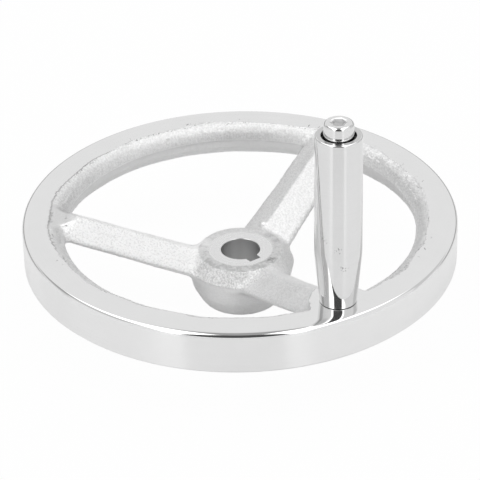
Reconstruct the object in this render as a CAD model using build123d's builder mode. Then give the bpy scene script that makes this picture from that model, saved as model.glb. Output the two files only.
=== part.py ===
from build123d import *
import os
from math import pi

# Dished three-spoke handwheel with a revolving crank handle.
# The hub stands on Z = 0, the shaft bore runs up +Z and the handle stands over +X.

# Rim: outer wall, edges and face are turned, its inside is left as cast
WHEEL_RADIUS = 100.0
WHEEL_HEIGHT = 43.5             # hub foot to rim face
RIM_HEIGHT = 20.0
RIM_EDGE_ROUND = 1.8
RIM_FOOT_BEVEL = 1.2
RIM_FACE_INNER_RADIUS = 87.2
RIM_PARTING_RADIUS = 81.0
RIM_PARTING_DROP = 6.4          # parting line below the turned face
RIM_SHOULDER_RADIUS = 83.2      # cast shoulder between parting line and face
RIM_SHOULDER_DROP = 2.4
RIM_BELLY_RADIUS = 82.4         # cast belly below the parting line
RIM_BELLY_DROP = 12.3
RIM_RUN_OUT_RADIUS = 86.8       # where the belly turns into its flat run to the foot
RIM_RUN_OUT_DROP = 16.4
RIM_FOOT_RADIUS = 93.2

# Hub
HUB_LENGTH = 24.7
HUB_WAIST_RADIUS = 22.5
HUB_WAIST_HEIGHT = 7.8
HUB_FOOT_RADIUS = 18.6
HUB_FOOT_BEVEL = 0.4
HUB_PARTING_RADIUS = 24.8
HUB_PARTING_HEIGHT = 18.3
HUB_SHOULDER_RADIUS = 19.3
HUB_SHOULDER_DROP = 0.2
HUB_SHOULDER_ROUND = 1.2
HUB_FACE_RADIUS = 14.9
BORE_RADIUS = 9.0
BORE_CHAMFER = 0.5
KEYWAY_WIDTH = 6.0
KEYWAY_DEPTH = 2.8              # beyond the bore wall
KEYWAY_ANGLE = 5.5              # degrees from the handle

# Spokes: a diamond in section, with its side corners on the sloping parting line
SPOKE_COUNT = 3
SPOKE_START_ANGLE = -1.5        # degrees from the handle to the spoke under it
SPOKE_INNER_RADIUS = 15.0
SPOKE_WAIST_RADIUS = 50.0
SPOKE_OUTER_RADIUS = 87.0
SPOKE_HUB_WIDTH = 31.6
SPOKE_WAIST_WIDTH = 28.8
SPOKE_RIM_WIDTH = 27.9
SPOKE_RIDGE_HEIGHT = 7.8        # above the side corners
SPOKE_KEEL_DEPTH = 5.6          # below the side corners
SPOKE_EDGE_BEVEL = 3.0          # on the side corners
SPOKE_RIDGE_BEVEL = 1.2
SPOKE_CREST_LIMIT = 1.4         # the crests stop this far below the rim face

# Handle pad, flush with the rim face, and its tapped hole
HANDLE_RADIUS = 84.8            # wheel axis to handle axis
PAD_RADIUS = 12.5
PAD_PARTING_RADIUS = 13.0
PAD_FOOT_RADIUS = 12.0
PAD_LENGTH = 19.0
PAD_FOOT_BEVEL = 1.2
PAD_NECK_ROUND = 4.0            # where the pad flares into the rim's inner edge
PAD_NECK_DEPTH = 8.0
TAPPED_HOLE_RADIUS = 4.0

# Revolving grip, with the play that lets it turn between pad and screw head
GRIP_LENGTH = 82.0
GRIP_TOP_RADIUS = 10.2
GRIP_SHOULDER_RADIUS = 10.35
GRIP_FOOT_RADIUS = 8.2
GRIP_TAPER_LENGTH = 24.7
GRIP_FOOT_BEVEL = 0.3
GRIP_TOP_BEVEL = 0.6
GRIP_BORE_RADIUS = 5.05
COUNTERBORE_RADIUS = 7.5
COUNTERBORE_DEPTH = 2.2
COUNTERBORE_BEVEL = 0.6
AXIAL_PLAY = 0.25

# Steel bush and M8 socket-head cap screw
BUSH_RADIUS = 5.0
BUSH_BORE_RADIUS = 4.2
BUSH_BEVEL = 0.3
SCREW_RADIUS = 3.98
SCREW_LENGTH = 90.0
SCREW_TIP_BEVEL = 1.0
HEAD_RADIUS = 6.4
HEAD_HEIGHT = 8.0
HEAD_TOP_BEVEL = 0.8
HEAD_FOOT_BEVEL = 0.3
SOCKET_ACROSS_FLATS = 6.0
SOCKET_DEPTH = 4.0

RIM_TOP = WHEEL_HEIGHT
RIM_FOOT = WHEEL_HEIGHT - RIM_HEIGHT
RIM_PARTING_HEIGHT = RIM_TOP - RIM_PARTING_DROP
PARTING_RISE = RIM_PARTING_HEIGHT - HUB_PARTING_HEIGHT
PARTING_SLOPE = PARTING_RISE / (RIM_PARTING_RADIUS - HUB_PARTING_RADIUS)
GRIP_FOOT = RIM_TOP + AXIAL_PLAY
GRIP_TOP = GRIP_FOOT + GRIP_LENGTH
BUSH_TOP = GRIP_TOP - COUNTERBORE_DEPTH + AXIAL_PLAY
HEAD_TOP = BUSH_TOP + HEAD_HEIGHT

HANDLE_AXIS = Axis((HANDLE_RADIUS, 0, 0), (0, 0, 1))
HANDLE_SECTION = Plane((HANDLE_RADIUS, 0, 0), x_dir=(1, 0, 0), z_dir=(0, -1, 0))

os.makedirs("parts", exist_ok=True)


def spoke_station(radius):
    """Plane across a spoke, with its origin on the parting line"""
    height = HUB_PARTING_HEIGHT + PARTING_SLOPE * (radius - HUB_PARTING_RADIUS)
    return Plane((radius, 0, height), x_dir=(0, 1, 0), z_dir=(1, 0, 0))


with BuildPart() as spoke:
    for radius, width in (
        (SPOKE_INNER_RADIUS, SPOKE_HUB_WIDTH),
        (SPOKE_WAIST_RADIUS, SPOKE_WAIST_WIDTH),
        (SPOKE_OUTER_RADIUS, SPOKE_RIM_WIDTH),
    ):
        with BuildSketch(spoke_station(radius)) as station:
            with BuildLine():
                Polyline(
                    (-width / 2, 0),
                    (0, SPOKE_RIDGE_HEIGHT),
                    (width / 2, 0),
                    (0, -SPOKE_KEEL_DEPTH),
                    close=True,
                )
            make_face()
            chamfer(station.vertices().sort_by(Axis.Y)[1:3], SPOKE_EDGE_BEVEL)
            chamfer(station.vertices().group_by(Axis.Y)[0], SPOKE_RIDGE_BEVEL)
            chamfer(station.vertices().group_by(Axis.Y)[-1], SPOKE_RIDGE_BEVEL)
    loft()
    with BuildSketch(Plane.XY.offset(RIM_TOP - SPOKE_CREST_LIMIT)):
        Rectangle(2 * WHEEL_RADIUS, SPOKE_HUB_WIDTH)
    extrude(amount=RIM_HEIGHT, mode=Mode.SUBTRACT)

with BuildPart() as wheel:
    with BuildSketch(Plane.XZ):
        with BuildLine():
            Polyline(
                (RIM_PARTING_RADIUS, RIM_PARTING_HEIGHT),
                (RIM_SHOULDER_RADIUS, RIM_TOP - RIM_SHOULDER_DROP),
                (RIM_FACE_INNER_RADIUS, RIM_TOP),
                (WHEEL_RADIUS, RIM_TOP),
                (WHEEL_RADIUS, RIM_FOOT + RIM_FOOT_BEVEL),
                (WHEEL_RADIUS - RIM_FOOT_BEVEL, RIM_FOOT),
                (RIM_FOOT_RADIUS, RIM_FOOT),
                (RIM_RUN_OUT_RADIUS, RIM_TOP - RIM_RUN_OUT_DROP),
                (RIM_BELLY_RADIUS, RIM_TOP - RIM_BELLY_DROP),
                close=True,
            )
        make_face()
    revolve(axis=Axis.Z)
    fillet(wheel.edges().group_by(SortBy.LENGTH)[-1].sort_by(Axis.Z)[-1], RIM_EDGE_ROUND)

    with BuildSketch(Plane.XZ) as hub_section:
        with BuildLine():
            Polyline(
                (0, 0),
                (HUB_FOOT_RADIUS, 0),
                (HUB_WAIST_RADIUS, HUB_WAIST_HEIGHT),
                (HUB_PARTING_RADIUS, HUB_PARTING_HEIGHT),
                (HUB_SHOULDER_RADIUS, HUB_LENGTH - HUB_SHOULDER_DROP),
                (HUB_FACE_RADIUS, HUB_LENGTH),
                (0, HUB_LENGTH),
                close=True,
            )
        make_face()
        chamfer(hub_section.vertices().group_by(Axis.Y)[0].sort_by(Axis.X)[-1], HUB_FOOT_BEVEL)
        fillet(hub_section.vertices().group_by(Axis.Y)[-2], HUB_SHOULDER_ROUND)
    revolve(axis=Axis.Z)
    with PolarLocations(0, SPOKE_COUNT, start_angle=SPOKE_START_ANGLE):
        add(spoke.part)

    # Handle pad: a round boss whose top flares into the rim's inner edge
    with BuildSketch(HANDLE_SECTION) as pad_section:
        with BuildLine():
            Polyline(
                (0, RIM_TOP),
                (PAD_RADIUS, RIM_TOP),
                (PAD_PARTING_RADIUS, RIM_PARTING_HEIGHT),
                (PAD_FOOT_RADIUS, RIM_TOP - PAD_LENGTH),
                (0, RIM_TOP - PAD_LENGTH),
                close=True,
            )
        make_face()
        chamfer(pad_section.vertices().group_by(Axis.Y)[0].sort_by(Axis.X)[-1], PAD_FOOT_BEVEL)
    revolve(axis=HANDLE_AXIS)
    with BuildSketch(Plane.XY.offset(RIM_TOP)) as pad_top:
        Circle(WHEEL_RADIUS - 2 * RIM_EDGE_ROUND)
        Circle(RIM_FACE_INNER_RADIUS, mode=Mode.SUBTRACT)
        with Locations((HANDLE_RADIUS, 0)):
            Circle(PAD_RADIUS)
        fillet(pad_top.vertices().group_by(Axis.X)[0], PAD_NECK_ROUND)
        with Locations((HANDLE_RADIUS, 0)):
            Rectangle(3 * PAD_RADIUS, 4 * PAD_RADIUS, mode=Mode.INTERSECT)
    extrude(amount=-PAD_NECK_DEPTH)
    with Locations((HANDLE_RADIUS, 0, RIM_TOP)):
        Hole(TAPPED_HOLE_RADIUS, PAD_LENGTH)

    # Keyed shaft bore
    with Locations((0, 0, HUB_LENGTH)):
        Hole(BORE_RADIUS, HUB_LENGTH)
    rims = wheel.edges().filter_by(lambda edge: abs(edge.length - 2 * pi * BORE_RADIUS) < 0.01)
    chamfer(rims, BORE_CHAMFER)
    with BuildSketch(Plane.XY.rotated((0, 0, KEYWAY_ANGLE))) as keyway:
        Rectangle(BORE_RADIUS + KEYWAY_DEPTH, KEYWAY_WIDTH, align=(Align.MIN, Align.CENTER))
    extrude(amount=HUB_LENGTH, mode=Mode.SUBTRACT)

wheel.part.label = "wheel"
export_step(wheel.part, "parts/wheel.step")

with BuildPart() as handle_grip:
    with BuildSketch(HANDLE_SECTION) as grip_section:
        with BuildLine():
            Polyline(
                (GRIP_BORE_RADIUS, GRIP_FOOT),
                (GRIP_FOOT_RADIUS, GRIP_FOOT),
                (GRIP_SHOULDER_RADIUS, GRIP_FOOT + GRIP_TAPER_LENGTH),
                (GRIP_TOP_RADIUS, GRIP_TOP),
                (COUNTERBORE_RADIUS, GRIP_TOP),
                (COUNTERBORE_RADIUS, GRIP_TOP - COUNTERBORE_DEPTH),
                (GRIP_BORE_RADIUS, GRIP_TOP - COUNTERBORE_DEPTH),
                close=True,
            )
        make_face()
        foot_corner = grip_section.vertices().group_by(Axis.Y)[0].sort_by(Axis.X)[-1]
        chamfer(foot_corner, GRIP_FOOT_BEVEL)
        top_corners = grip_section.vertices().group_by(Axis.Y)[-1].sort_by(Axis.X)
        chamfer(top_corners[0], COUNTERBORE_BEVEL)
        chamfer(grip_section.vertices().group_by(Axis.Y)[-1].sort_by(Axis.X)[-1], GRIP_TOP_BEVEL)
    revolve(axis=HANDLE_AXIS)
handle_grip.part.label = "handle_grip"
export_step(handle_grip.part, "parts/handle_grip.step")

with BuildPart() as handle_bush:
    with BuildSketch(HANDLE_SECTION) as bush_section:
        with Locations((BUSH_BORE_RADIUS, RIM_TOP)):
            Rectangle(BUSH_RADIUS - BUSH_BORE_RADIUS, BUSH_TOP - RIM_TOP, align=(Align.MIN, Align.MIN))
        chamfer(bush_section.vertices().group_by(Axis.X)[-1], BUSH_BEVEL)
    revolve(axis=HANDLE_AXIS)
handle_bush.part.label = "handle_bush"
export_step(handle_bush.part, "parts/handle_bush.step")

with BuildPart() as handle_screw:
    with BuildSketch(HANDLE_SECTION) as screw_section:
        with BuildLine():
            Polyline(
                (0, BUSH_TOP - SCREW_LENGTH),
                (SCREW_RADIUS, BUSH_TOP - SCREW_LENGTH),
                (SCREW_RADIUS, BUSH_TOP),
                (HEAD_RADIUS, BUSH_TOP),
                (HEAD_RADIUS, HEAD_TOP),
                (0, HEAD_TOP),
                close=True,
            )
        make_face()
        tip = screw_section.vertices().group_by(Axis.Y)[0].sort_by(Axis.X)[-1]
        chamfer(tip, SCREW_TIP_BEVEL)
        head_corners = screw_section.vertices().group_by(Axis.X)[-1].sort_by(Axis.Y)
        chamfer(head_corners[0], HEAD_FOOT_BEVEL)
        chamfer(screw_section.vertices().group_by(Axis.X)[-1].sort_by(Axis.Y)[-1], HEAD_TOP_BEVEL)
    revolve(axis=HANDLE_AXIS)
    with BuildSketch(Plane((HANDLE_RADIUS, 0, HEAD_TOP))):
        RegularPolygon(SOCKET_ACROSS_FLATS / 2, 6, major_radius=False)
    extrude(amount=-SOCKET_DEPTH, mode=Mode.SUBTRACT)
handle_screw.part.label = "handle_screw"
export_step(handle_screw.part, "parts/handle_screw.step")
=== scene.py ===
import math

import bpy
import numpy as np
from mathutils import Matrix, Vector, geometry


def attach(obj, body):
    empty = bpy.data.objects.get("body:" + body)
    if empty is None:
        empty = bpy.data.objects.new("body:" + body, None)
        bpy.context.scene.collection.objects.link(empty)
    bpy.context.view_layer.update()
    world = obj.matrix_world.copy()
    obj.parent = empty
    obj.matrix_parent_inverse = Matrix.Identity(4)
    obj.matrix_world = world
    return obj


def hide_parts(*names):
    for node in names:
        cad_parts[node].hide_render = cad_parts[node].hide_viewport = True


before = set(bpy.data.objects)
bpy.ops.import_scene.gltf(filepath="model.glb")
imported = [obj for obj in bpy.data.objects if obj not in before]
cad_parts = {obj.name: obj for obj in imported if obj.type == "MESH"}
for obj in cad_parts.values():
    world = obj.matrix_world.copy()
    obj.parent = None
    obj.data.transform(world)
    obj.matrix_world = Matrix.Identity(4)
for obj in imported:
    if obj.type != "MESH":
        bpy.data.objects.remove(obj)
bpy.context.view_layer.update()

# Polished handwheel with a revolving crank handle on a white table.
# Shapes are worked out in millimetres in the shared frame and written to meshes in metres.
MM = 0.001
FAR = 1e3
rng = np.random.default_rng(64)

# Camera solved from the rim in the photograph, then turned about the wheel's axis into the shared frame
LENS = 188.53
SENSOR_WIDTH = 36
CAMERA_REACH = 20
CAMERA_ELEVATION = math.radians(31.704)
CAMERA_ROLL = math.radians(-1.168)
CAMERA_PLACE = Vector((-0.12, -989.42, 640.65))     # before that turn
CAMERA_TURN = math.radians(60.31)

# Rim; outlines are (radius, height)
RIM_TOP = 43.5
RIM_FOOT = 23.5
RIM_MIDDLE = 32
RIM_INSIDE = 70                 # nothing of the rim is nearer to the axis
WHEEL_RADIUS = 100.0
RIM_FOOT_BEVEL = 1.2
RIM_FOOT_RADIUS = 93.2
RIM_FOOT_CUT = 92.5             # the cut across the rim's foot starts at this radius
PARTING = (81.0, 37.1)
SHOULDER_CENTRE = (89.75, 34.9)
SHOULDER_RADIUS = 9.0
SHOULDER_START = math.radians(165.9)
BELLY_CENTRE = (92.3, 37.1)
BELLY_RADIUS = 11.3
BELLY_TURN = math.radians(60.6)
SECTION_ARC_POINTS = 12
CAST_OUTER_RADIUS = 99.0        # hidden: the turned skin is modelled by itself
RIM_STOCK = [(91.5, 44.6), (CAST_OUTER_RADIUS, 45.5), (CAST_OUTER_RADIUS, 22.4), (94.8, 22.4)]
SKIN_TOP_RADIUS = 94.3
SKIN_FOOT_RADIUS = 96.2

# Bends of the rim's polished edge from the wall to the face: radius, degrees turned
RIM_EDGE_BENDS = ((5.0, 8.0), (1.9, 35.5), (1.9, 35.5), (14.0, 4.0), (18.0, 4.0), (24.0, 3.0))
RIM_EDGE_CHORDS = 4             # for each bend

# Hub
HUB_LENGTH = 24.7
HUB_OUTLINE = [
    (0, -1.0), (17.2, -1.0), (18.8, 0.8), (22.5, 7.8), (24.8, 18.3), (19.6, 24.3),
    (17.0, 24.5), (15.2, 24.62), (14.2, 25.0), (12.0, 25.6), (0, 25.6),
]
HUB_REACH = 26
HUB_WAIST = 8
HUB_PARTING = (24.8, 18.3)
HUB_FACE_RADIUS = 14.9          # of the bright turned ring
HUB_FACE_LIMIT = 19.3           # past it the facing cut rises clear of the hub
HUB_FACE_RISE = 1.6
HUB_FOOT_CUT = 30
HUB_ROOT_BLEND = 2.6
BORE_RADIUS = 9.0
BORE_CHAMFER = 0.25
BORE_POINTS = 90
KEYWAY_WIDTH = 6.0
KEYWAY_REACH = 11.8
KEYWAY_ANGLE = math.radians(5.5)

# Spokes
SPOKE_ANGLES = tuple(math.radians(-1.5 + 120 * k) for k in range(3))
SPOKE_STATIONS = (15.0, 50.0, 87.0)
SPOKE_WIDTHS = (31.6, 28.8, 27.9)
SPOKE_ENDS = (8, 90)
SPOKE_CLIMB = (PARTING[1] - HUB_PARTING[1]) / (PARTING[0] - HUB_PARTING[0])
SPOKE_RIDGE = 7.8
SPOKE_KEEL = 5.6
SPOKE_RIDGE_ROUND = 0.5
SPOKE_EDGE_BLEND = 4.2
SPOKE_CREST = RIM_TOP - 1.4
SPOKE_CREST_BLEND = 0.6
RIM_ROOT_BLEND = 2.4

# Unevenness of the casting, which the crown has more of, apart from a calm stretch at the left
CROWN_RADIUS = 80
CROWN_HEIGHT = 41
CROWN_SAG, CALM_SAG = 2.0, 1.6          # times as much, and how much less in the calm stretch
CROWN_RIPPLE, CALM_RIPPLE = 1.3, 1.1
CALM_CROWN = (230, 34)                  # bearing and reach in degrees
PAD_CALM_RADIUS, PAD_SHARE = 24, 0.1
HUB_CALM_RADIUS, HUB_CALM_HEIGHT, HUB_SHARE = 19, 20, 0.6
SKIN_DEPTH = 2.5                        # the unevenness is worked out this near to the surface

# Bearings in degrees where the cast crown lies low, their reach, and by how much; it lies high at the last
CROWN_DIPS = ((238, 22, 0.38), (118, 9, 0.2), (160, 8, 0.34), (75, 7, 0.3), (30, 16, 0.22), (300, 20, -0.15))

# A lump that the mould left on the back right spoke's ridge
LUMP_PLACE = np.array([-12.7, 20.0, 24.6])
LUMP_RADIUS = 1.55
LUMP_BLEND = 0.8

# Marks on the hub, and a painted highlight on the lump (the first entry): place, reach, change of shade
CAST_MARKS_AND_HIGHLIGHT = (
    ((-12.7, 20.0, 25.5), 2.6, 0.3),
    ((-20.2, -14.5, 22.0), 2.6, -0.4),
    ((-3.2, 17.2, 24.3), 3.2, -0.2),
    ((2.0, 18.0, 24.2), 3.0, -0.18),
    ((15.8, 7.2, 24.4), 3.0, -0.25),
)

# Bearings in degrees about which the cast finish, and the light and shade painted on it, change
FRONT_BEARING = -29.7
SKIRT_BEARING = -60
LEFT_SPOKE_BEARING = -121.5
SWEPT_LIP_BEARING = -132
SMOOTH_SPOKE_END = (-44.4, -72.5, 41.0)     # where the left spoke runs out smooth into the rim

# Handle pad
HANDLE = np.array([84.8, 0.0])
PAD_FOOT = 24.5
PAD_OUTLINE = [(0, PAD_FOOT), (10.8, PAD_FOOT), (12.0, 25.7), (13.0, 37.1), (12.6, 46.0), (0, 46.0)]
PAD_BLEND = 3.0
TAPPED_HOLE_RADIUS = 4.0
TAPPED_HOLE_POINTS = 60

# Grip and screw
GRIP_FOOT = 43.75
GRIP_TOP = 125.75
GRIP_FOOT_RADIUS = 8.2
GRIP_SHOULDER_RADIUS = 10.35
GRIP_SHOULDER_HEIGHT = GRIP_FOOT + 24.7
GRIP_TOP_RADIUS = 10.2
GRIP_BORE_RADIUS = 5.05
RECESS_RADIUS = 7.5
RECESS_FLOOR = GRIP_TOP - 2.2
GRIP_FOOT_ROUND, GRIP_SHOULDER_ROUND, GRIP_TOP_ROUND = 0.3, 60, 0.8
RECESS_EDGE_ROUND, RECESS_FLOOR_ROUND = 0.5, 0.2
END_MARGIN, END_DEPTH = 0.6, 0.2            # the faced end stops short of the side and just below the top
RECESS_MARGIN, RECESS_START = 0.1, 0.4      # the recess, painted dark as shade, starts on its rounded edge
GRIP_SEGMENTS = 192

# Pits near the grip's shoulder: place and reach
GRIP_PITS = (
    ((87.5, -9.9, 80.6), 2.4),
    ((89.4, -9.1, 78.9), 1.6),
    ((93.5, -5.4, 74.5), 2.2),
    ((94.6, -2.8, 66.0), 2.6),
)

SCREW_FOOT = 33.8
SHANK_RADIUS = 3.98
SHANK_BEVEL = 1.0
TIP_RADIUS = 0.01               # of the speck round which the shank's end closes
HEAD_FOOT = 123.8
HEAD_TOP = 131.8
HEAD_FOOT_RADIUS = 6.75
HEAD_TOP_RADIUS = 6.45
HEAD_FOOT_ROUND, HEAD_TOP_ROUND = 0.3, 1.6
SOCKET_FLATS = 6.0
SOCKET_DEPTH = 4.0
SOCKET_MOUTH_RADIUS = 3.85
SOCKET_MOUTH_BEVEL = 0.35
DRILL_SHARE = 0.86              # of the hexagon, for the hole that was drilled before it was broached
DRILL_EDGE_DEPTH = 0.1
DRILL_POINT_DEPTH = 0.75
SCREW_SEGMENTS = 144

# Mesh fineness
NET_STEP = 0.85
NET_LOW = (-101.2, -101.2, -1.3)
NET_HIGH = (101.2, 101.2, 45.2)
RING_SEGMENTS = 480
BEND_STEPS = 8

# Radii where the net gives way to turned faces: rim top, rim foot, bore and tapped hole
NET_TOP_LIMIT = 93.4
NET_FOOT_LIMIT = 95.5
NET_BORE_LIMIT = 12.5
NET_HOLE_LIMIT = 5
HOLE_LOOP_REACH = 9             # the net's open edge at the hole or the bore stays within this radius
BORE_LOOP_REACH = 20


# ---------- shapes as signed distances in millimetres, negative inside ----------

def smooth_union(a, b, blend):
    """Both solids, with a cast fillet where they meet"""
    h = np.maximum(blend - np.abs(a - b), 0) / blend
    return np.minimum(a, b) - h * h * blend / 4


def smooth_common(a, b, blend):
    """What both solids share, with its edge rounded"""
    return -smooth_union(-a, -b, blend)


def arc(centre, radius, start, end, steps):
    angles = np.linspace(start, end, steps)
    return [(centre[0] + radius * math.cos(a), centre[1] + radius * math.sin(a)) for a in angles]


def inside_outline(u, v, outline):
    """True for the points (u, v) within a closed outline"""
    inside = np.zeros(np.shape(u), bool)
    for (ua, va), (ub, vb) in zip(outline, outline[1:] + outline[:1]):
        if va != vb:
            crosses = (va > v) != (vb > v)
            inside ^= crosses & (u < ua + (v - va) / (vb - va) * (ub - ua))
    return inside


class Section:
    """Signed distance from an outline in (radius, height), kept on a fine grid"""

    PITCH = 0.2
    LOWEST, HIGHEST = -4, 52

    def __init__(self, outline, reach):
        self.radii = np.arange(0, reach, self.PITCH)
        self.heights = np.arange(self.LOWEST, self.HIGHEST, self.PITCH)
        u, v = np.meshgrid(self.radii, self.heights, indexing="ij")
        nearest = np.full(u.shape, np.inf)
        for (ua, va), (ub, vb) in zip(outline, outline[1:] + outline[:1]):
            du, dv = ub - ua, vb - va
            along = np.clip(((u - ua) * du + (v - va) * dv) / (du * du + dv * dv), 0, 1)
            nearest = np.minimum(nearest, np.hypot(u - ua - along * du, v - va - along * dv))
        self.table = np.where(inside_outline(u, v, outline), -nearest, nearest)

    def __call__(self, radius, height):
        u = np.clip(radius / self.PITCH, 0, len(self.radii) - 1.001)
        v = np.clip((height - self.heights[0]) / self.PITCH, 0, len(self.heights) - 1.001)
        i, j = u.astype(int), v.astype(int)
        u, v = u - i, v - j
        t = self.table
        near = t[i, j] * (1 - u) + t[i + 1, j] * u
        far = t[i, j + 1] * (1 - u) + t[i + 1, j + 1] * u
        return near * (1 - v) + far * v


rim_outline = arc(SHOULDER_CENTRE, SHOULDER_RADIUS, SHOULDER_START, math.radians(90), SECTION_ARC_POINTS)
rim_outline += RIM_STOCK + [(RIM_FOOT_RADIUS, RIM_FOOT)]
rim_outline += arc(BELLY_CENTRE, BELLY_RADIUS, math.pi + BELLY_TURN, math.pi, SECTION_ARC_POINTS)
rim_section = Section(rim_outline, reach=104)
hub_section = Section(HUB_OUTLINE, reach=60)
pad_section = Section(PAD_OUTLINE, reach=60)


def spoke_distance(x, y, z):
    """One diamond-section spoke along +X"""
    middle = HUB_PARTING[1] + SPOKE_CLIMB * (x - HUB_PARTING[0])
    half = np.interp(x, SPOKE_STATIONS, SPOKE_WIDTHS) / 2
    across = np.sqrt(y * y + SPOKE_RIDGE_ROUND ** 2)
    rise = z - middle
    upper = (rise * half + SPOKE_RIDGE * (across - half)) / np.hypot(half, SPOKE_RIDGE)
    lower = (-rise * half + SPOKE_KEEL * (across - half)) / np.hypot(half, SPOKE_KEEL)
    body = smooth_common(upper, lower, SPOKE_EDGE_BLEND)
    body = smooth_common(body, z - SPOKE_CREST, SPOKE_CREST_BLEND)
    return np.maximum(body, np.maximum(x - SPOKE_ENDS[1], SPOKE_ENDS[0] - x))


class Waves:
    """Seeded sum of sine waves: the unevenness that the sand mould leaves"""

    def __init__(self, count, shortest, longest, height):
        way = rng.normal(size=(count, 3))
        way /= np.linalg.norm(way, axis=1)[:, None]
        length = np.exp(rng.uniform(math.log(shortest), math.log(longest), count))
        self.way = way * (2 * math.pi / length)[:, None]
        self.phase = rng.uniform(0, 2 * math.pi, count)
        self.height = height * math.sqrt(2 / count)

    def __call__(self, p):
        total = np.zeros(len(p))
        for way, phase in zip(self.way, self.phase):
            total += np.sin(p @ way + phase)
        return total * self.height


sag = Waves(count=14, shortest=12, longest=45, height=0.07)
ripple = Waves(count=26, shortest=1.6, longest=5, height=0.03)


def cast_distance(p):
    """The casting before its faces are machined"""
    x, y, z = p[:, 0], p[:, 1], p[:, 2]
    radius = np.hypot(x, y)
    rim = rim_section(radius, z)
    hub = hub_section(radius, z)
    pad = pad_section(np.hypot(x - HANDLE[0], y), z)
    spokes = np.full(len(p), FAR)
    for angle in SPOKE_ANGLES:
        along = x * math.cos(angle) + y * math.sin(angle)
        aside = y * math.cos(angle) - x * math.sin(angle)
        spokes = np.minimum(spokes, spoke_distance(along, aside, z))
    wheel = smooth_union(smooth_union(rim, pad, PAD_BLEND), spokes, RIM_ROOT_BLEND)
    lump = np.linalg.norm(p - LUMP_PLACE, axis=1) - LUMP_RADIUS
    return smooth_union(smooth_union(wheel, hub, HUB_ROOT_BLEND), lump, LUMP_BLEND)


def around(bearing, middle, reach):
    """1 at a bearing, falling to 0 beyond its reach, all in degrees"""
    gap = np.abs((bearing - middle + 180) % 360 - 180)
    return np.exp(-((gap / reach) ** 4))


def rough_cast_distance(p):
    """The same with the mould's unevenness, and lower where the crown dips"""
    distance = cast_distance(p)
    near = np.abs(distance) < SKIN_DEPTH
    q = p[near]
    radius = np.hypot(q[:, 0], q[:, 1])
    bearing = np.degrees(np.arctan2(q[:, 1], q[:, 0]))
    crown = (q[:, 2] > CROWN_HEIGHT) & (radius > CROWN_RADIUS)
    calm = around(bearing, *CALM_CROWN)
    uneven = sag(q) * np.where(crown, CROWN_SAG - CALM_SAG * calm, 1)
    uneven += ripple(q) * np.where(crown, CROWN_RIPPLE - CALM_RIPPLE * calm, 1)
    for middle, reach, drop in CROWN_DIPS:
        uneven += crown * drop * around(bearing, middle, reach)
    on_pad = np.hypot(q[:, 0] - HANDLE[0], q[:, 1]) < PAD_CALM_RADIUS
    on_hub_top = (radius < HUB_CALM_RADIUS) & (q[:, 2] > HUB_CALM_HEIGHT)
    distance[near] += uneven * np.where(on_pad, PAD_SHARE, np.where(on_hub_top, HUB_SHARE, 1))
    return distance


def machined_distance(p):
    """Facing cuts across the rim and the pad, the hub, and the feet of both"""
    x, y, z = p[:, 0], p[:, 1], p[:, 2]
    radius = np.hypot(x, y)
    rim_face = z - RIM_TOP
    rise = HUB_FACE_RISE * np.maximum(radius - HUB_FACE_LIMIT, 0)
    hub_face = np.where(radius < HUB_REACH, z - HUB_LENGTH - rise, -FAR)
    foot = np.where(radius < HUB_FOOT_CUT, -z, np.where(radius > RIM_FOOT_CUT, RIM_FOOT - z, -FAR))
    return np.maximum(np.maximum(rim_face, hub_face), foot)


def wheel_distance(p):
    return np.maximum(rough_cast_distance(p), machined_distance(p))


def plane_under(p):
    """Height of the machined plane that bounds the wheel at each point"""
    radius, z = np.hypot(p[:, 0], p[:, 1]), p[:, 2]
    height = np.full(len(p), RIM_TOP)
    height[radius < HUB_REACH] = HUB_LENGTH
    height[(radius < HUB_FOOT_CUT) & (z < HUB_WAIST)] = 0
    height[(radius > RIM_INSIDE) & (z < RIM_MIDDLE)] = RIM_FOOT
    return height


def gradient(distance, p, reach=0.04):
    slopes = []
    for axis in np.eye(3) * reach:
        slopes.append((distance(p + axis) - distance(p - axis)) / (2 * reach))
    return np.stack(slopes, -1)


# ---------- meshing ----------

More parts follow.
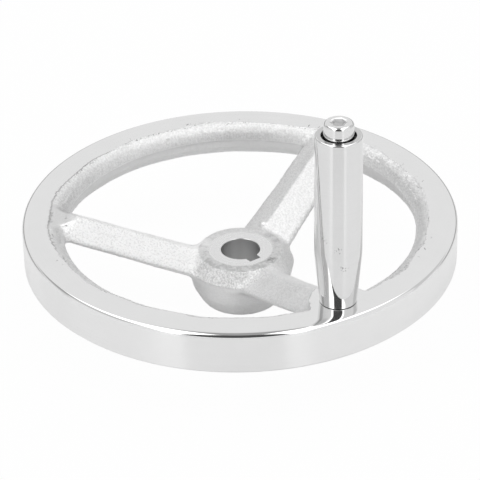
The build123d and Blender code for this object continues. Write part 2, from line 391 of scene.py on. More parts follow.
def surface_net(distance, low, high, step):
    """Vertices and quads of the surface where distance is 0, one vertex for each cell that it crosses"""
    axes = [np.arange(low[k], high[k] + step, step) for k in range(3)]
    field = np.empty([len(a) for a in axes], np.float32)
    grid = np.stack(np.meshgrid(axes[0], axes[1], indexing="ij"), -1).reshape(-1, 2)
    for k, height in enumerate(axes[2]):
        layer = np.column_stack([grid, np.full(len(grid), height)])
        field[:, :, k] = distance(layer).reshape(len(axes[0]), len(axes[1]))
    inside = field < 0
    corners = np.array([(i, j, k) for i in (0, 1) for j in (0, 1) for k in (0, 1)])
    size = np.array(field.shape) - 1
    filled = np.zeros(size, np.uint8)
    for i, j, k in corners:
        filled += inside[i:i + size[0], j:j + size[1], k:k + size[2]]
    active = (filled > 0) & (filled < 8)
    number = np.full(size, -1)
    number[active] = np.arange(active.sum())
    cells = np.argwhere(active)
    total = np.zeros((len(cells), 3))
    hits = np.zeros(len(cells))
    for start in corners:
        for axis in range(3):
            if start[axis]:
                continue
            way = np.eye(3, dtype=int)[axis]
            first = field[tuple((cells + start).T)]
            second = field[tuple((cells + start + way).T)]
            cross = (first < 0) != (second < 0)
            share = first[cross] / (first[cross] - second[cross])
            total[cross] += start + share[:, None] * way
            hits[cross] += 1
    points = np.array(low) + step * (cells + total / hits[:, None])
    quads = []
    for axis in range(3):
        u, v = np.eye(3, dtype=int)[(axis + 1) % 3], np.eye(3, dtype=int)[(axis + 2) % 3]
        here = np.moveaxis(inside, axis, 0)
        flips = np.argwhere(np.moveaxis(here[:-1] != here[1:], 0, axis))
        held = np.all((flips[:, [(axis + 1) % 3, (axis + 2) % 3]] > 0), axis=1)
        held &= flips[:, (axis + 1) % 3] < size[(axis + 1) % 3]
        held &= flips[:, (axis + 2) % 3] < size[(axis + 2) % 3]
        flips = flips[held]
        around_edge = [number[tuple((flips - a * u - b * v).T)] for a, b in ((0, 0), (1, 0), (1, 1), (0, 1))]
        quad = np.stack(around_edge, -1)
        outward = inside[tuple(flips.T)]
        quad[~outward] = quad[~outward][:, ::-1]
        quads.append(quad)
    return points, np.concatenate(quads)


def shortened(vectors, most):
    """The vectors, none longer than most"""
    lengths = np.linalg.norm(vectors, axis=1)
    return vectors * np.minimum(1, most / np.maximum(lengths, 1e-9))[:, None]


def off_surface(points, distance, axes, least_slope):
    """How far points are from the surface where distance is 0, as vectors along the first axes"""
    slope = gradient(distance, points)[:, :axes]
    return distance(points)[:, None] * slope / np.maximum((slope ** 2).sum(1), least_slope)[:, None]


def settle(points, distance, rounds=3, most=0.6):
    """Moves points onto the surface where distance is 0"""
    start = points.copy()
    for _ in range(rounds):
        off = off_surface(points, distance, axes=3, least_slope=0.2)
        points = start + shortened(points - off - start, most)
    return points


def settle_level(points, distance, rounds=5, stride=0.5, most=0.9 * NET_STEP):
    """Moves points onto the surface where distance is 0, each at its own height"""
    start = points.copy()
    for _ in range(rounds):
        off = off_surface(points, distance, axes=2, least_slope=0.01)
        points[:, :2] -= shortened(off, stride)
        points = start + shortened(points - start, most)
    return points


def open_edges(quads):
    """Directed edges of the quads that no other quad shares"""
    edges = np.concatenate([quads[:, [k, (k + 1) % 4]] for k in range(4)])
    known = set(map(tuple, edges.tolist()))
    return [(a, b) for a, b in known if (b, a) not in known]


def clear_pinches(quads):
    """Drops quads until no vertex lies twice on an open edge"""
    while True:
        starts = np.array([a for a, _ in open_edges(quads)])
        found, times = np.unique(starts, return_counts=True)
        pinched = found[times > 1]
        if not len(pinched):
            return quads
        quads = quads[~np.isin(quads, pinched).any(axis=1)]


def loops_of(quads):
    """Closed chains of vertices round the open edges"""
    after = dict(open_edges(quads))
    chains = []
    while after:
        first = min(after)
        chain = [first]
        step = after.pop(first)
        while step != first:
            chain.append(step)
            step = after.pop(step)
        chains.append(chain)
    return chains


def facing_axis(centre, tilt=0):
    """Function for normals that point at a vertical axis, and also up or down on a chamfer"""
    def normal(x, y):
        u, v = centre[0] - x, centre[1] - y
        return tuple(Vector((u, v, tilt * math.hypot(u, v))).normalized())
    return normal


class Build:
    """Mesh under construction: points, faces, and for each face a material and the normals at its corners"""

    def __init__(self):
        self.points, self.faces, self.slots, self.normals = [], [], [], []

    def add_points(self, points):
        first = len(self.points)
        self.points.extend(map(tuple, points))
        return list(range(first, len(self.points)))

    def add_face(self, face, slot, normals=None):
        """Normals are those of a flat face unless they are given"""
        if normals is None:
            a, b, c = [Vector(self.points[v]) for v in face[:3]]
            normals = [tuple((b - a).cross(c - a).normalized())] * len(face)
        self.faces.append(tuple(face))
        self.slots.append(slot)
        self.normals += normals

    def band(self, first, second, slot, normal=None, longest=2):
        """Quads between two closed rows; narrow ones take the given normals, the others are flat"""
        for k in range(len(first)):
            nxt = (k + 1) % len(first)
            face = (first[k], first[nxt], second[nxt], second[k])
            given = None
            if normal and math.dist(self.points[first[k]], self.points[first[nxt]]) < longest:
                given = [normal(*self.points[v][:2]) for v in face]
            self.add_face(face, slot, given)

    def fill(self, outer, inner, height_sign, slot):
        """Flat face between two closed rows of vertices, looking up or down"""
        rows = list(outer) + list(inner)
        flat = [Vector(self.points[v][:2]) for v in rows]
        split = len(outer)
        edges = [(k, (k + 1) % split) for k in range(split)]
        edges += [(split + k, split + (k + 1) % len(inner)) for k in range(len(inner))]
        done = geometry.delaunay_2d_cdt(flat, edges, [], 0, 1e-7)
        places, triangles, origins = done[0], np.array(done[2]), done[3]
        centres = np.array([[sum(places[v][k] for v in t) / 3 for k in (0, 1)] for t in triangles])
        between = inside_outline(centres[:, 0], centres[:, 1], [tuple(p) for p in flat[:split]])
        between &= ~inside_outline(centres[:, 0], centres[:, 1], [tuple(p) for p in flat[split:]])
        normal = (0, 0, height_sign)
        for triangle in triangles[between]:
            face = [rows[origins[v][0]] for v in triangle]
            if height_sign < 0:
                face.reverse()
            self.add_face(face, slot, [normal] * 3)

    def finish(self, name, materials):
        mesh = bpy.data.meshes.new(name)
        points = np.array(self.points) * MM
        mesh.from_pydata(points.tolist(), [], self.faces)
        mesh.update()
        mesh.shade_smooth()
        for material in materials:
            mesh.materials.append(material)
        mesh.polygons.foreach_set("material_index", np.array(self.slots, np.int32))
        mesh.normals_split_custom_set(self.normals)
        thing = bpy.data.objects.new(name, mesh)
        bpy.context.scene.collection.objects.link(thing)
        return thing


def rounded(corners):
    """Outline with its corners (radius, height, round) turned into arcs"""
    outline = []
    for k, (u, v, size) in enumerate(corners):
        here = np.array([u, v], float)
        if not size:
            outline.append(tuple(here))
            continue
        back = np.array(corners[k - 1][:2]) - here
        ahead = np.array(corners[(k + 1) % len(corners)][:2]) - here
        back /= np.linalg.norm(back)
        ahead /= np.linalg.norm(ahead)
        half = math.acos(float(np.clip(back @ ahead, -1, 1))) / 2
        centre = here + (back + ahead) / np.linalg.norm(back + ahead) * size / math.sin(half)
        first = here + back * size / math.tan(half) - centre
        last = here + ahead * size / math.tan(half) - centre
        start = math.atan2(first[1], first[0])
        turn = (math.atan2(last[1], last[0]) - start + math.pi) % (2 * math.pi) - math.pi
        outline += arc(centre, size, start, start + turn, BEND_STEPS + 1)
    return outline


def rolled_edge(radius, height, bends):
    """A polished edge from the wall to the face, as one arc (radius, degrees turned) after the other"""
    outline, turned = [(0.0, 0.0)], 0.0
    for size, degrees in bends:
        half = math.radians(degrees) / (2 * RIM_EDGE_CHORDS)
        reach = 2 * size * math.sin(half)
        for _ in range(RIM_EDGE_CHORDS):
            turned += half
            u, v = outline[-1]
            outline.append((u - reach * math.sin(turned), v + reach * math.cos(turned)))
            turned += half
    top = outline[-1][1]
    return [(u + radius, v + height - top) for u, v in outline]


def circle(centre, radius, height, segments):
    """Points of a level ring, or of another closed curve where radius is an array"""
    angles = np.arange(segments) * 2 * math.pi / segments
    x, y = centre[0] + radius * np.cos(angles), centre[1] + radius * np.sin(angles)
    return np.column_stack([x, y, np.full(segments, height)])


def revolve_rows(build, outline, centre, segments):
    """One closed row of points for each corner of an outline that is turned round a vertical axis"""
    return [build.add_points(circle(centre, radius, height, segments)) for radius, height in outline]


def revolve_faces(build, outline, rows, slot, closed=False, crease=math.radians(14)):
    """Faces between those rows, for a solid on the outline's left, with sharp corners past the crease only"""
    segments = len(rows[0])
    angles = np.arange(segments) * 2 * math.pi / segments
    runs = np.roll(outline, -1, 0) - np.array(outline)
    runs /= np.maximum(np.linalg.norm(runs, axis=1), 1e-9)[:, None]
    across = np.stack([runs[:, 1], -runs[:, 0]], -1)
    count = len(outline)
    last = count if closed else count - 1
    for k in range(last):
        nxt = (k + 1) % count
        ends = []
        for other in (k - 1, nxt):
            shared = across[k]
            inside = closed or 0 <= other < last
            if inside and across[k] @ across[other] > math.cos(crease):
                shared = across[k] + across[other]
                shared = shared / np.linalg.norm(shared)
            ends.append([(shared[0] * math.cos(a), shared[0] * math.sin(a), shared[1]) for a in angles])
        for j in range(segments):
            after = (j + 1) % segments
            face = (rows[k][j], rows[k][after], rows[nxt][after], rows[nxt][j])
            build.add_face(face, slot(k), [ends[0][j], ends[0][after], ends[1][after], ends[1][j]])


# ---------- shader nodes ----------

def feed(tree, socket, value):
    if isinstance(value, bpy.types.NodeSocket):
        tree.links.new(value, socket)
    elif value is not None:
        socket.default_value = value


def add(tree, kind, *values, out=0, **settings):
    """Adds a shader node, sets or links its inputs in order, and gives back one of its outputs"""
    node = tree.nodes.new("ShaderNode" + kind)
    for name, value in settings.items():
        setattr(node, name, value)
    for socket, value in zip(node.inputs, values):
        feed(tree, socket, value)
    return node.outputs[out]


def calc(tree, operation, *values):
    return add(tree, "Math", *values, operation=operation)


def product(tree, *values):
    total = values[0]
    for value in values[1:]:
        total = calc(tree, "MULTIPLY", total, value)
    return total


def added(tree, value, mask, change):
    """Value, plus change where the mask is 1"""
    return calc(tree, "MULTIPLY_ADD", mask, change, value)


def scaled(tree, value, mask, change):
    """Value, times 1 + change where the mask is 1"""
    return calc(tree, "MULTIPLY", value, added(tree, 1.0, mask, change))


def centred(tree, noise):
    """Noise from 0 to 1 brought to -0.5 to 0.5"""
    return calc(tree, "SUBTRACT", noise, 0.5)


def step_up(tree, value, start, end, low=0.0, high=1.0):
    """From low to high as value goes smoothly from start to end"""
    return add(tree, "MapRange", value, start, end, low, high, interpolation_type="SMOOTHSTEP")


def step_down(tree, value, start, end):
    return step_up(tree, value, start, end, 1.0, 0.0)


def window(tree, value, low, high, soft):
    """1 where value is between low and high degrees, 0 outside"""
    low, high, soft = math.radians(low), math.radians(high), math.radians(soft)
    rise = step_up(tree, value, low - soft, low + soft)
    return calc(tree, "MULTIPLY", rise, step_down(tree, value, high - soft, high + soft))


def grain(tree, where, scale, detail=3.0, roughness=0.6):
    """Noise from 0 to 1, with scale its cells for each unit of where"""
    return add(tree, "TexNoise", where, None, scale, detail, roughness)


def bearing_gap(tree, bearing, middle):
    """Radians between a bearing and one given in degrees"""
    return calc(tree, "ABSOLUTE", calc(tree, "SUBTRACT", bearing, math.radians(middle)))


def distance_to(tree, place, spot):
    return add(tree, "VectorMath", place, spot, out=1, operation="DISTANCE")


def times_vector(tree, vector, factor):
    return add(tree, "VectorMath", vector, None, None, factor, operation="SCALE")


def place_in_mm(tree):
    return times_vector(tree, add(tree, "TexCoord", out=3), 1 / MM)


def about_axis(tree, place, centre=(0, 0, 0)):
    """Radius, bearing and height of place about a vertical axis"""
    moved = add(tree, "VectorMath", place, centre, operation="SUBTRACT")
    x, y, z = add(tree, "SeparateXYZ", moved).node.outputs
    squares = calc(tree, "ADD", calc(tree, "MULTIPLY", x, x), calc(tree, "MULTIPLY", y, y))
    return calc(tree, "SQRT", squares), calc(tree, "ARCTAN2", y, x), z


def bumps(tree, metal, *layers):
    """Bump layers (height, depth in metres), the coarse one first"""
    normal = None
    for height, depth in layers:
        bump = tree.nodes.new("ShaderNodeBump")
        bump.inputs["Distance"].default_value = depth
        feed(tree, bump.inputs["Height"], height)
        feed(tree, bump.inputs["Normal"], normal)
        normal = bump.outputs["Normal"]
    feed(tree, metal.inputs["Normal"], normal)


def new_metal(name):
    material = bpy.data.materials.new(name)
    material.use_nodes = True
    tree = material.node_tree
    metal = tree.nodes["Principled BSDF"]
    metal.inputs["Metallic"].default_value = 1.0
    return material, tree, metal, place_in_mm(tree)


# ---------- metals ----------

CAST_VALUE = 0.81
# Painted shade: the rim's smooth underside is darker
RIM_UNDERSIDE_SHADE_VALUE = 0.76
SAND_DEPTH = 0.00034            # metres
FINE_DEPTH = 0.00007


def cast_aluminium():
    """Sand-cast skin, rougher above the parting line, with radii and heights in millimetres"""
    material, tree, metal, place = new_metal("cast_aluminium")
    radius, bearing, height = about_axis(tree, place)
    parting = add(tree, "MapRange", radius, HUB_PARTING[0], PARTING[0], HUB_PARTING[1], PARTING[1])
    cloud = grain(tree, place, 0.09, 2.0)
    sand = grain(tree, place, 1.15, 3.0, 0.65)
    fine = grain(tree, place, 2.3, 2.0)
    from_front = bearing_gap(tree, bearing, FRONT_BEARING)
    from_spoke = bearing_gap(tree, bearing, LEFT_SPOKE_BEARING)

    # The hub's shoulder ring is smooth and carries painted shade, a dark reflection, less so at the back, and
    # the left spoke's end is smooth
    ring = calc(tree, "MULTIPLY", step_down(tree, radius, 19.0, 20.0), step_up(tree, height, 23.4, 23.9))
    ring = calc(tree, "MULTIPLY", ring, step_up(tree, from_front, 1.3, 2.2, 1.0, 0.35))
    spoke_end = step_down(tree, distance_to(tree, place, SMOOTH_SPOKE_END), 8, 13)
    rough_side = step_up(tree, calc(tree, "SUBTRACT", height, parting), -0.3, 0.3)
    rough_side = scaled(tree, rough_side, ring, -0.8)
    rough_side = scaled(tree, rough_side, spoke_end, -0.75)

    # The sand shows most on the left spoke and the skirt's rough side, and least on the front of the rim
    left_spoke = step_up(tree, from_spoke, 0.35, 0.6, 0.6, 0.0)
    coarse = calc(tree, "MULTIPLY", left_spoke, step_down(tree, radius, 78, 82))
    coarse = calc(tree, "ADD", coarse, 0.5)
    skirt = step_up(tree, bearing_gap(tree, bearing, SKIRT_BEARING), 1.0, 1.2, 1.05, 0.4)
    coarse = step_up(tree, radius, 25, 28, skirt, coarse)
    front_rim = calc(tree, "MULTIPLY", step_down(tree, from_front, 1.2, 1.5), step_up(tree, radius, 76, 79))
    coarse = scaled(tree, coarse, front_rim, -0.7)

    # Painted light: the left spoke's top is painted lightest and less metallic, and the handle's spoke next,
    # as light that falls on them
    painted_light_front = step_up(tree, from_front, 0.75, 1.0, 0.3, 0.0)
    painted_light_spoke = calc(tree, "MAXIMUM", step_down(tree, from_spoke, 0.35, 0.6), painted_light_front)
    painted_light_spoke = product(tree, painted_light_spoke, rough_side, step_down(tree, radius, 76, 80))

    # Torn specks where the turned face cuts into the crown
    marks = calc(tree, "MULTIPLY", step_up(tree, radius, 85.6, 86.4), step_up(tree, height, 42.4, 42.9))
    marks = product(
        tree, marks,
        step_up(tree, grain(tree, place, 0.9, 2.0), 0.5, 0.6),
        step_up(tree, grain(tree, place, 0.11, 1.0), 0.45, 0.55),
    )

    # Painted shade in the step between turned and cast metal, unbroken at the left and patchy elsewhere
    lip_shade = step_up(tree, add(tree, "Attribute", out=2, attribute_name="lip_shade"), 0.45, 0.9)
    swept = step_down(tree, bearing_gap(tree, bearing, SWEPT_LIP_BEARING), 0.5, 0.62)
    patchy = step_up(tree, grain(tree, place, 0.2, 2.0), 0.46, 0.6, 0.0, 0.4)
    lip_shade = product(tree, lip_shade, calc(tree, "MAXIMUM", swept, patchy), step_up(tree, radius, 60, 70))

    # Painted highlight: a bright thread along the rim's parting line, where its flash catches the light
    flash_highlight = calc(tree, "ABSOLUTE", calc(tree, "SUBTRACT", height, parting))
    flash_highlight = calc(tree, "MULTIPLY", step_down(tree, flash_highlight, 0.15, 0.35), step_up(tree, radius, 60, 70))

    # Brightness, roughness and relief
    # Painted shade: out at the rim the smooth side is darker, on the rim's underside and on the left spoke's
    # smooth end
    smooth_value = step_up(tree, radius, 40, 60, CAST_VALUE, RIM_UNDERSIDE_SHADE_VALUE)
    value = step_up(tree, rough_side, 0, 1, smooth_value, CAST_VALUE)
    # Painted light on the spokes' tops
    value = added(tree, value, painted_light_spoke, 0.19)
    # Painted shade on the hub's shoulder ring, a dark reflection, mottled
    mottled_shade = step_up(tree, grain(tree, place, 0.42), 0.42, 0.58, 0.5, 1.2)
    value = added(tree, value, calc(tree, "MULTIPLY", ring, mottled_shade), -0.2)
    value = added(tree, value, centred(tree, cloud), 0.08)
    speckle = centred(tree, step_up(tree, sand, 0.34, 0.66))
    speckle = product(tree, speckle, coarse, step_up(tree, rough_side, 0, 1, 0.04, 0.3))
    value = calc(tree, "ADD", value, speckle)
    value = added(tree, value, marks, -0.32)
    # Painted shade along the step between turned and cast metal
    value = scaled(tree, value, lip_shade, -0.42)
    value = added(tree, value, flash_highlight, 0.1)
    # Marks on the hub, and the painted highlight on the lump
    for spot, reach, change in CAST_MARKS_AND_HIGHLIGHT:
        near = step_down(tree, distance_to(tree, place, spot), reach * 0.4, reach)
        patch = calc(tree, "MULTIPLY", near, step_up(tree, sand, 0.42, 0.55))
        value = added(tree, value, patch, change)
    value = calc(tree, "MINIMUM", value, 1.0)
    rough = step_up(tree, rough_side, 0, 1, 0.34, 0.46)
    rough = added(tree, rough, centred(tree, cloud), 0.16)
    depth = calc(tree, "MULTIPLY", coarse, step_up(tree, rough_side, 0, 1, 0.2, 1.0))
    feed(tree, metal.inputs["Base Color"], times_vector(tree, (1.0, 1.0, 1.0), value))
    feed(tree, metal.inputs["Metallic"], added(tree, 1.0, painted_light_spoke, -0.45))
    feed(tree, metal.inputs["Roughness"], rough)
    sand_relief, fine_relief = [calc(tree, "MULTIPLY", noise, depth) for noise in (sand, fine)]
    bumps(tree, metal, (sand_relief, SAND_DEPTH), (fine_relief, FINE_DEPTH))
    return material


def turned_metal(name, centre, value, roughness, marks, mark_depth):
    """Lathe-turned metal with fine rings round an axis, in its shade, its roughness and its relief"""
    material, tree, metal, place = new_metal(name)
    radius, bearing, height = about_axis(tree, place, centre)
    rings = add(tree, "CombineXYZ", radius, calc(tree, "MULTIPLY", bearing, 0.4), height)
    line = grain(tree, rings, marks, 3.0, 0.7)
    cloud = grain(tree, place, 0.06)
    shade = added(tree, value, centred(tree, cloud), 0.05)
    shade = added(tree, shade, centred(tree, line), 0.05)
    feed(tree, metal.inputs["Base Color"], times_vector(tree, (1.0, 1.0, 1.0), shade))
    rough = added(tree, roughness * 0.5, line, roughness * 0.7)
    rough = added(tree, rough, cloud, roughness * 0.5)
    feed(tree, metal.inputs["Roughness"], rough)
    bumps(tree, metal, (line, mark_depth))
    return material


def add_pits(material, pits):
    """Darkens a few small pits (place, reach)"""
    tree = material.node_tree
    place = place_in_mm(tree)
    near = None
    for spot, reach in pits:
        one = step_down(tree, distance_to(tree, place, spot), reach * 0.6, reach)
        near = one if near is None else calc(tree, "MAXIMUM", near, one)
    pitted = calc(tree, "MULTIPLY", near, step_up(tree, grain(tree, place, 1.5, 1.0), 0.6, 0.66))
    colour = tree.nodes["Principled BSDF"].inputs["Base Color"]
    clean = colour.links[0].from_socket
    feed(tree, colour, times_vector(tree, clean, added(tree, 1.0, pitted, -0.55)))


WHEEL_AXIS = (0, 0, 0)
HANDLE_AXIS = (HANDLE[0], 0, 0)
cast_metal = cast_aluminium()

# Name, axis, brightness, roughness, marks for each millimetre, their depth in metres
polished_metal = turned_metal("polished_aluminium", WHEEL_AXIS, 0.89, 0.07, 2.6, 2e-6)
bored_metal = turned_metal("bored_aluminium", WHEEL_AXIS, 0.81, 0.3, 1.6, 2e-5)
faced_metal = turned_metal("turned_aluminium", WHEEL_AXIS, 0.86, 0.24, 2.2, 2e-5)
grip_metal = turned_metal("grip_aluminium", HANDLE_AXIS, 0.825, 0.06, 2.0, 2e-6)
grip_end_metal = turned_metal("faced_aluminium", HANDLE_AXIS, 0.68, 0.16, 2.4, 6e-6)
# The recess round the screw's head is painted near black, as shade in the recess
recess_shade_metal = turned_metal("recess_painted_shade", HANDLE_AXIS, 0.1, 0.4, 2.0, 1e-5)
screw_metal = turned_metal("bright_zinc", HANDLE_AXIS, 0.84, 0.08, 1.5, 4e-6)
socket_metal = turned_metal("broached_zinc", HANDLE_AXIS, 0.93, 0.45, 0.9, 3e-5)
bush_metal = turned_metal("ground_steel", HANDLE_AXIS, 0.6, 0.2, 1.5, 1e-5)
add_pits(grip_metal, GRIP_PITS)


# ---------- wheel ----------

CAST, POLISHED, TURNED, BORED = 0, 1, 2, 3


def wheel_net():
    """Points and quads of the casting, with masks of the points on machined planes and on their borders"""
    points, quads = surface_net(wheel_distance, NET_LOW, NET_HIGH, NET_STEP)
    heights = plane_under(points)
    gap = machined_distance(points) - rough_cast_distance(points)
    level = np.abs(points[:, 2] - heights) < NET_STEP
    edge = (np.abs(gap) < 0.5 * NET_STEP) & level
    flat = ((gap > 0) & level) | edge
    points[flat, 2] = heights[flat]
    points[~flat] = settle(points[~flat], rough_cast_distance)
    points[edge] = settle_level(points[edge], rough_cast_distance)
    return points, quads, flat, edge


def trim(points, quads):
    """Quads that are left where turned faces and holes take over"""
    radius = np.hypot(points[:, 0], points[:, 1])
    limit = np.where(points[:, 2] > RIM_MIDDLE, NET_TOP_LIMIT, NET_FOOT_LIMIT)
    from_handle = np.hypot(points[:, 0] - HANDLE[0], points[:, 1])
    gone = (radius > limit) | (radius < NET_BORE_LIMIT) | (from_handle < NET_HOLE_LIMIT)
    return clear_pinches(quads[~gone[quads].any(axis=1)])


def add_net_faces(build, number, points, quads, flat):
    """The net's faces, level ones with the finish of their cut"""
    slopes = gradient(rough_cast_distance, points)
    slopes /= np.maximum(np.linalg.norm(slopes, axis=1), 1e-9)[:, None]
    radius = np.hypot(points[:, 0], points[:, 1])
    cut = flat[quads].all(axis=1) & (np.ptp(points[quads][:, :, 2], axis=1) < 1e-6)
    for face, is_cut in zip(quads, cut):
        row = [int(number[v]) for v in face]
        if not is_cut:
            build.add_face(row, CAST, [tuple(slopes[v]) for v in face])
            continue
        height = points[face[0], 2]
        slot = POLISHED if height == RIM_TOP else TURNED
        if height == HUB_LENGTH and radius[face].mean() > HUB_FACE_RADIUS:
            slot = CAST
        build.add_face(row, slot, [(0, 0, 1 if height in (RIM_TOP, HUB_LENGTH) else -1)] * 4)


def bore_row(chamfer, height):
    """Outline of the bore with its keyway, counter-clockwise from the keyway's right wall"""
    size = BORE_RADIUS + chamfer
    half = KEYWAY_WIDTH / 2
    corner = math.asin(half / size)
    row = [(KEYWAY_REACH, -half), (KEYWAY_REACH, half)]
    row += arc((0, 0), size, corner, 2 * math.pi - corner, BORE_POINTS)
    cosine, sine = math.cos(KEYWAY_ANGLE), math.sin(KEYWAY_ANGLE)
    return [(u, v, height) for u, v in np.array(row) @ np.array([[cosine, sine], [-sine, cosine]])]


def add_rim_skin(build):
    """Adds the rim's turned and polished skin and gives back its rows, from the foot to the face"""
    bevel_radius, bevel_height = WHEEL_RADIUS - RIM_FOOT_BEVEL, RIM_FOOT + RIM_FOOT_BEVEL
    skin = [(SKIN_FOOT_RADIUS, RIM_FOOT), (bevel_radius, RIM_FOOT), (WHEEL_RADIUS, bevel_height)]
    skin += rolled_edge(WHEEL_RADIUS, RIM_TOP, RIM_EDGE_BENDS) + [(SKIN_TOP_RADIUS, RIM_TOP)]
    rows = revolve_rows(build, skin, WHEEL_AXIS, RING_SEGMENTS)
    revolve_faces(build, skin, rows, lambda k: TURNED if k < 2 else POLISHED)
    return rows


def add_bore(build):
    """Adds the bore with its keyway and gives back its rows, from the top to the foot"""
    rows = [
        build.add_points(bore_row(BORE_CHAMFER, HUB_LENGTH)),
        build.add_points(bore_row(0, HUB_LENGTH - BORE_CHAMFER)),
        build.add_points(bore_row(0, BORE_CHAMFER)),
        build.add_points(bore_row(BORE_CHAMFER, 0)),
    ]
    for upper, lower, tilt in zip(rows, rows[1:], (1, 0, -1)):
        build.band(upper, lower, BORED, facing_axis(WHEEL_AXIS, tilt))
    return rows


def add_tapped_hole(build):
    """Adds the handle's hole in the pad and gives back its rows, from the top to the foot"""
    hole = [(TAPPED_HOLE_RADIUS, RIM_TOP), (TAPPED_HOLE_RADIUS, PAD_FOOT)]
    rows = revolve_rows(build, hole, HANDLE, TAPPED_HOLE_POINTS)
    build.band(*rows, TURNED, facing_axis(HANDLE))
    return rows


def make_wheel():
    """The casting's net, with turned faces and holes in place of its coarse ones"""
    points, quads, flat, edge = wheel_net()
    quads = trim(points, quads)
    used = np.unique(quads)
    number = np.full(len(points), -1)
    build = Build()
    number[used] = build.add_points(points[used])
    add_net_faces(build, number, points, quads, flat)
    skin_rows = add_rim_skin(build)
    bore_rows = add_bore(build)
    hole_rows = add_tapped_hole(build)

    # Flat rings between the net's open edges and those faces
    for chain in loops_of(quads):
        loop = points[chain]
        row = [int(number[v]) for v in chain]
        height = loop[0, 2]
        up = height in (RIM_TOP, HUB_LENGTH)
        way, end = (1, 0) if up else (-1, -1)
        finish = POLISHED if height == RIM_TOP else TURNED
        assert np.ptp(loop[:, 2]) < 1
        if np.hypot(loop[:, 0] - HANDLE[0], loop[:, 1]).max() < HOLE_LOOP_REACH:
            build.fill(row, hole_rows[end], way, finish)
        elif np.hypot(loop[:, 0], loop[:, 1]).max() < BORE_LOOP_REACH:
            build.fill(row, bore_rows[end], way, finish)
        else:
            build.fill(skin_rows[-1 if up else 0], row, way, finish)

    wheel = build.finish("wheel_casting", [cast_metal, polished_metal, faced_metal, bored_metal])
    # Points on the turned faces' borders, which carry the painted shade in the step
    lip_shade = np.zeros(len(build.points))
    lip_shade[number[edge & (number >= 0)]] = 1
    wheel.data.attributes.new("lip_shade", "FLOAT", "POINT").data.foreach_set("value", lip_shade)
    return wheel


wheel = make_wheel()
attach(wheel, "wheel")
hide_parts("wheel")

# ---------- handle ----------

GRIP_SIDE, RECESS, GRIP_END = 0, 1, 2
OUTSIDE, SOCKET = 0, 1


def grip_slot(radius, height):
    """Metal of the band that starts at a corner of the grip's outline"""
    if GRIP_BORE_RADIUS < radius < RECESS_RADIUS + RECESS_MARGIN and height < GRIP_TOP - RECESS_START:
        return RECESS
    if radius < GRIP_TOP_RADIUS - END_MARGIN and height > GRIP_TOP - END_DEPTH:
        return GRIP_END
    return GRIP_SIDE


def make_grip():
    """Turned sleeve with a slender foot and a recess round the screw's head"""
    outline = rounded([
        (GRIP_BORE_RADIUS, GRIP_FOOT, 0),
        (GRIP_FOOT_RADIUS, GRIP_FOOT, GRIP_FOOT_ROUND),
        (GRIP_SHOULDER_RADIUS, GRIP_SHOULDER_HEIGHT, GRIP_SHOULDER_ROUND),
        (GRIP_TOP_RADIUS, GRIP_TOP, GRIP_TOP_ROUND),
        (RECESS_RADIUS, GRIP_TOP, RECESS_EDGE_ROUND),
        (RECESS_RADIUS, RECESS_FLOOR, RECESS_FLOOR_ROUND),
        (GRIP_BORE_RADIUS, RECESS_FLOOR, 0),
    ])
    build = Build()
    rows = revolve_rows(build, outline, HANDLE, GRIP_SEGMENTS)
    revolve_faces(build, outline, rows, lambda k: grip_slot(*outline[k]), closed=True)
    return build.finish("grip_sleeve", [grip_metal, recess_shade_metal, grip_end_metal])


def add_socket(build, mouth):
    """Adds the hexagon socket under its mouth, with the shallow cone that the drill left"""
    angles = np.arange(SCREW_SEGMENTS) * 2 * math.pi / SCREW_SEGMENTS
    hexagon = SOCKET_FLATS / 2 / np.cos(angles % (math.pi / 3) - math.pi / 6)
    floor = HEAD_TOP - SOCKET_DEPTH
    rows = [mouth] + revolve_rows(build, [
        (hexagon, HEAD_TOP - SOCKET_MOUTH_BEVEL),
        (hexagon, floor),
        (hexagon * DRILL_SHARE, floor - DRILL_EDGE_DEPTH),
    ], HANDLE, SCREW_SEGMENTS)
    drill_point = build.add_points([(HANDLE[0], 0, floor - DRILL_POINT_DEPTH)])[0]
    for upper, lower in zip(rows, rows[1:]):
        build.band(upper, lower, SOCKET)
    for first, second in zip(rows[-1], rows[-1][1:] + rows[-1][:1]):
        build.add_face((first, second, drill_point), SOCKET)


def make_screw():
    """Socket-head cap screw with a plain shank"""
    outline = rounded([
        (TIP_RADIUS, SCREW_FOOT, 0),
        (SHANK_RADIUS - SHANK_BEVEL, SCREW_FOOT, 0),
        (SHANK_RADIUS, SCREW_FOOT + SHANK_BEVEL, 0),
        (SHANK_RADIUS, HEAD_FOOT, 0),
        (HEAD_FOOT_RADIUS, HEAD_FOOT, HEAD_FOOT_ROUND),
        (HEAD_TOP_RADIUS, HEAD_TOP, HEAD_TOP_ROUND),
        (SOCKET_MOUTH_RADIUS, HEAD_TOP, 0),
    ])
    build = Build()
    rows = revolve_rows(build, outline, HANDLE, SCREW_SEGMENTS)
    revolve_faces(build, outline, rows, lambda k: OUTSIDE)
    build.add_face(tuple(reversed(rows[0])), OUTSIDE)
    add_socket(build, mouth=rows[-1])
    return build.finish("cap_screw", [screw_metal, socket_metal])


grip = make_grip()
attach(grip, "grip")
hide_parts("handle_grip")

screw = make_screw()
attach(screw, "wheel")
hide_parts("handle_screw")

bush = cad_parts["handle_bush"]
bush.data.materials.clear()
bush.data.materials.append(bush_metal)

# ---------- table ----------

TABLE_REACH = 9                 # metres
FLOOR_SEEN = 0.97               # share of plain white that the camera sees
FLOOR_MIRRORED = 0.2            # and that polished faces mirror


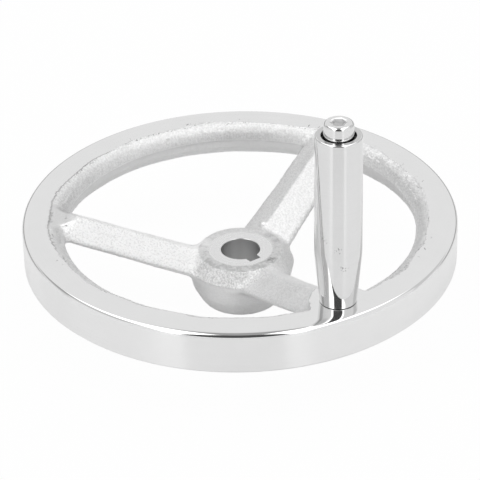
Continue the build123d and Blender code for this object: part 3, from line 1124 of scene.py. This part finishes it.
def table_paint():
    """Pale semi-gloss paint, near white to the camera"""
    material = bpy.data.materials.new("table_paint")
    material.use_nodes = True
    tree = material.node_tree
    paint = tree.nodes["Principled BSDF"]
    paint.inputs["Base Color"].default_value = (0.86, 0.86, 0.86, 1)
    paint.inputs["Roughness"].default_value = 0.18
    white = add(tree, "Emission", (1, 1, 1, 1), 1.0)
    ray = add(tree, "LightPath").node.outputs
    seen = calc(tree, "MULTIPLY", ray["Is Camera Ray"], FLOOR_SEEN)
    mirrored = calc(tree, "MAXIMUM", ray["Is Glossy Ray"], ray["Is Transmission Ray"])
    seen = calc(tree, "MAXIMUM", seen, calc(tree, "MULTIPLY", mirrored, FLOOR_MIRRORED))
    shown = add(tree, "MixShader", seen, paint.outputs[0], white)
    feed(tree, tree.nodes["Material Output"].inputs["Surface"], shown)
    return material


floor_mesh = bpy.data.meshes.new("table_top")
table_corners = [(x * TABLE_REACH, y * TABLE_REACH, 0) for x, y in ((-1, -1), (1, -1), (1, 1), (-1, 1))]
floor_mesh.from_pydata(table_corners, [], [(0, 1, 2, 3)])
floor_mesh.materials.append(table_paint())
floor = bpy.data.objects.new("table_top", floor_mesh)
bpy.context.scene.collection.objects.link(floor)

# ---------- studio ----------

TENT_LIGHT = 0.83
ROOF_LIGHT = 1.06               # added over the roof and the wall in front
REAR_LIGHT = -0.2               # added beside the roof at the back
LEFT_LIGHT = -0.26              # added on the left wall
SEAM_LOSS = -0.8                # shares lost at the roof's seam, the wall's foot and the camera's slit
FOOT_LOSS = -0.6
SLIT_LOSS = -0.96


def light_tent():
    """White tent as light by direction: a bright roof with a dim seam, and a dark slit round the camera"""
    world = bpy.data.worlds.new("studio")
    world.use_nodes = True
    tree = world.node_tree
    direction = add(tree, "TexCoord")
    towards = (math.sin(CAMERA_TURN), -math.cos(CAMERA_TURN), 0)
    rightward = (math.cos(CAMERA_TURN), math.sin(CAMERA_TURN), 0)
    ahead = add(tree, "VectorMath", direction, towards, out=1, operation="DOT_PRODUCT")
    aside = add(tree, "VectorMath", direction, rightward, out=1, operation="DOT_PRODUCT")
    rise = add(tree, "SeparateXYZ", direction, out=2)

    # Angles to the right of the photograph's camera, above the horizon, and from the back over the top
    swing = calc(tree, "ARCTAN2", aside, ahead)
    lift = calc(tree, "ARCSINE", rise)
    over = calc(tree, "ARCTAN2", rise, calc(tree, "MULTIPLY", ahead, -1.0))
    slit = calc(tree, "MULTIPLY", window(tree, swing, -30, 23, 1.5), window(tree, lift, 11, 76, 2.5))
    strip = calc(tree, "MULTIPLY", step_up(tree, aside, -0.66, -0.56), step_down(tree, aside, 0.45, 0.54))
    roof = calc(tree, "MULTIPLY", window(tree, over, 58, 168, 3), strip)
    narrow = step_down(tree, calc(tree, "ABSOLUTE", aside), 0.09, 0.15)
    seam = calc(tree, "MULTIPLY", window(tree, over, 53, 106, 5), narrow)
    rear = calc(tree, "MULTIPLY", window(tree, over, 38, 72, 2), calc(tree, "SUBTRACT", 1.0, strip))
    left = calc(tree, "MULTIPLY", window(tree, swing, -128, -58, 5), window(tree, lift, 24, 66, 5))
    behind = bearing_gap(tree, calc(tree, "ABSOLUTE", swing), 142)
    foot = calc(tree, "MULTIPLY", step_down(tree, behind, 0.35, 0.6), window(tree, lift, 1, 14, 3))

    light = added(tree, TENT_LIGHT, roof, ROOF_LIGHT)
    light = added(tree, light, rear, REAR_LIGHT)
    light = added(tree, light, left, LEFT_LIGHT)
    light = scaled(tree, light, seam, SEAM_LOSS)
    light = scaled(tree, light, foot, FOOT_LOSS)
    light = scaled(tree, light, slit, SLIT_LOSS)
    seen = add(tree, "LightPath", out=0)
    light = calc(tree, "ADD", calc(tree, "MULTIPLY", light, calc(tree, "SUBTRACT", 1.0, seen)), seen)
    feed(tree, tree.nodes["Background"].inputs["Strength"], light)
    tree.nodes["Background"].inputs["Color"].default_value = (1, 1, 1, 1)
    return world


bpy.context.scene.world = light_tent()

# ---------- camera ----------

sight = Vector((0, math.cos(CAMERA_ELEVATION), -math.sin(CAMERA_ELEVATION)))
sideways = Vector((1, 0, 0))
above = sideways.cross(sight)
right = sideways * math.cos(CAMERA_ROLL) + above * math.sin(CAMERA_ROLL)
up = above * math.cos(CAMERA_ROLL) - sideways * math.sin(CAMERA_ROLL)
axes = Matrix((right, up, -sight)).transposed().to_4x4()
camera = bpy.data.objects.new("camera", bpy.data.cameras.new("camera"))
camera.data.lens = LENS
camera.data.sensor_width = SENSOR_WIDTH
camera.data.clip_end = CAMERA_REACH
camera.matrix_world = Matrix.Rotation(CAMERA_TURN, 4, "Z") @ Matrix.Translation(CAMERA_PLACE * MM) @ axes
bpy.context.scene.collection.objects.link(camera)
bpy.context.scene.camera = camera
bpy.context.scene.view_settings.view_transform = "Standard"
